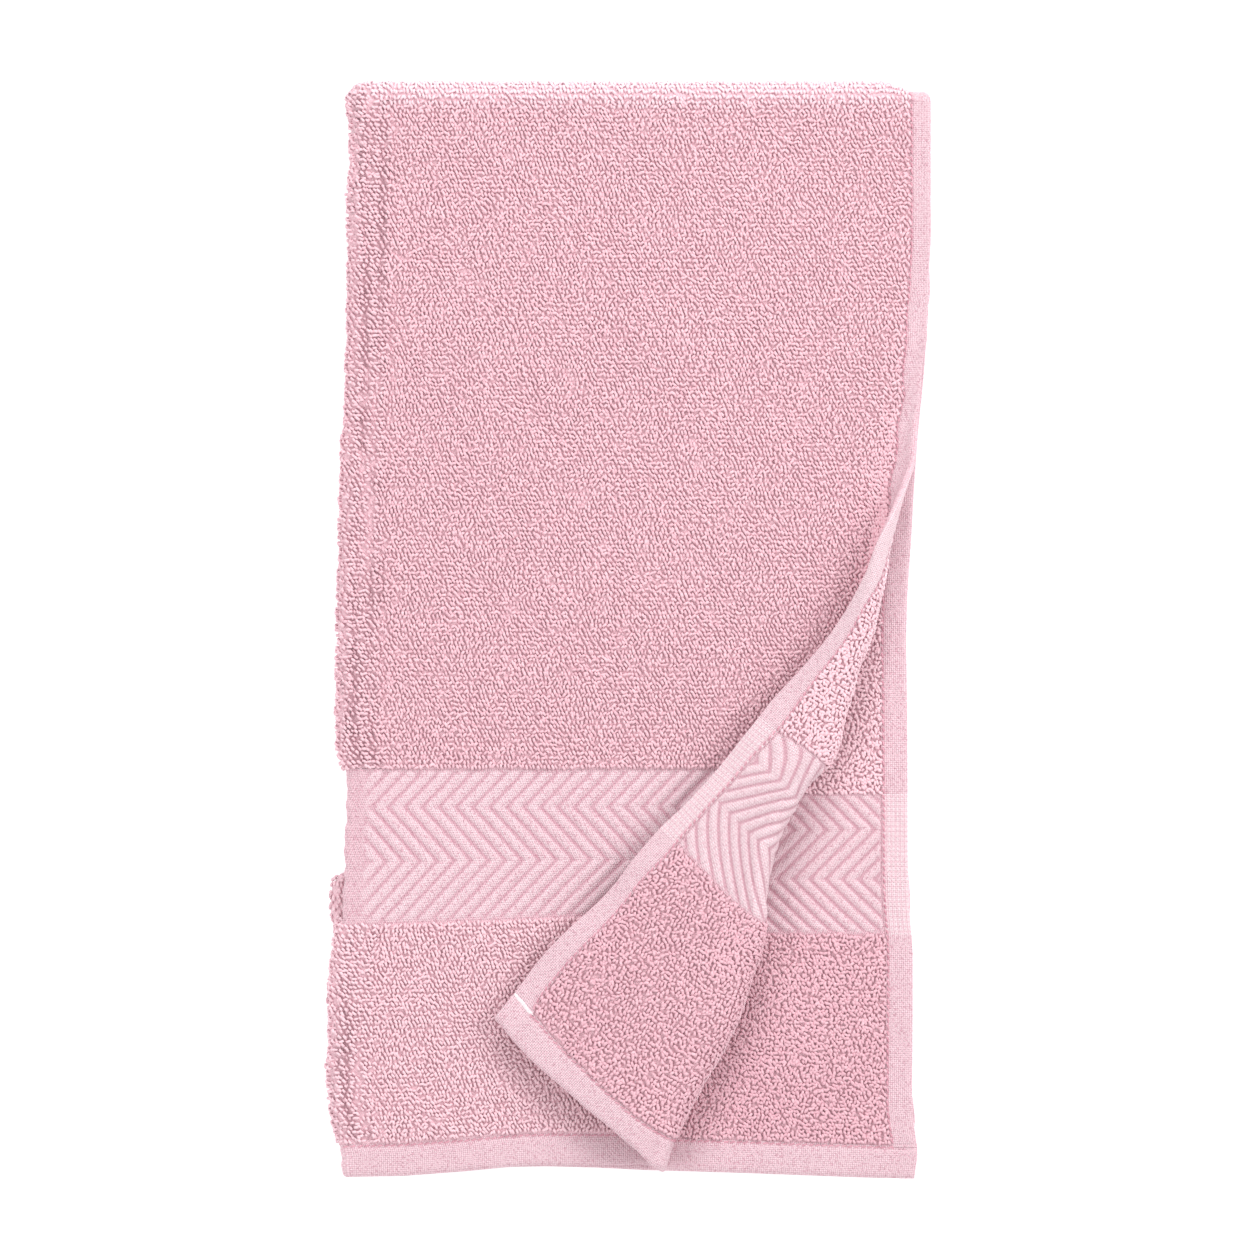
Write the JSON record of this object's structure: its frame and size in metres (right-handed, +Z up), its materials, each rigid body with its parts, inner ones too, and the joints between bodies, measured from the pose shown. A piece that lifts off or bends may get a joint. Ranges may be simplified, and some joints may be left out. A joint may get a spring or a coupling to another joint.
{
  "type": "folded hand towel",
  "caption": "Cotton terry towel with herringbone borders, folded in half both ways and laid flat, its front corner turned back over the stack.",
  "frame": {"origin": "bottom centre of the folded stack's bounding box, on the surface it lies on", "axes": "+Z up out of the table; +Y along the towel's long side, towards the crosswise fold; +X across it, away from the lengthwise fold"},
  "size_m": [0.21, 0.3826, 0.0286],
  "materials": {
    "terry": "looped cotton terry, matt",
    "border": "flat woven cotton with a raised herringbone",
    "hem": "plain cotton weave, turned and stitched",
    "seam_thread": "cotton sewing thread"
  },
  "bodies": {
    "back_half": {"back_leaf_terry": "terry", "back_leaf_border": "border", "back_leaf_end_terry": "terry", "back_leaf_end_hem": "hem", "back_leaf_side_hem": "hem", "inner_leaf_terry": "terry", "inner_leaf_border": "border", "inner_leaf_end_terry": "terry", "inner_leaf_end_hem": "hem", "inner_leaf_side_hem": "hem", "back_left_fold": "terry", "outer_top_fold_lower": "terry", "inner_top_fold_lower": "terry", "back_leaf_side_seam": "seam_thread", "inner_leaf_side_seam": "seam_thread", "back_end_seam": "seam_thread"},
    "front_half": {"second_leaf_terry": "terry", "second_leaf_border": "border", "second_leaf_end_terry": "terry", "second_leaf_end_hem": "hem", "second_leaf_side_hem": "hem", "front_leaf_terry": "terry", "front_leaf_border": "border", "front_leaf_end_terry": "terry", "front_leaf_end_hem": "hem", "front_leaf_side_hem": "hem", "front_left_fold": "terry", "outer_top_fold_upper": "terry", "inner_top_fold_upper": "terry", "corner_roll_lower": "terry", "second_leaf_side_seam": "seam_thread", "second_leaf_end_seam": "seam_thread", "front_leaf_side_seam": "seam_thread", "front_leaf_end_seam": "seam_thread"},
    "turned_corner": {"corner_roll_upper": "terry", "corner_end_hem": "hem", "corner_end_terry": "terry", "corner_border": "border", "corner_upper_terry": "terry", "corner_side_hem": "hem", "corner_side_seam": "seam_thread", "corner_end_seam": "seam_thread"}
  },
  "joints": [
    {"name": "crosswise_fold", "type": "hinge", "parent": "back_half", "child": "front_half", "pos_m": [0, 0.19145, 0.00815], "axis": [-1, 0, 0], "range_deg": [0, 174]},
    {"name": "corner_fold", "type": "hinge", "parent": "front_half", "child": "turned_corner", "pos_m": [0.04864, -0.10005, 0.0206], "axis": [0.3322, 0.9432, 0], "range_deg": [0, 180]}
  ]
}
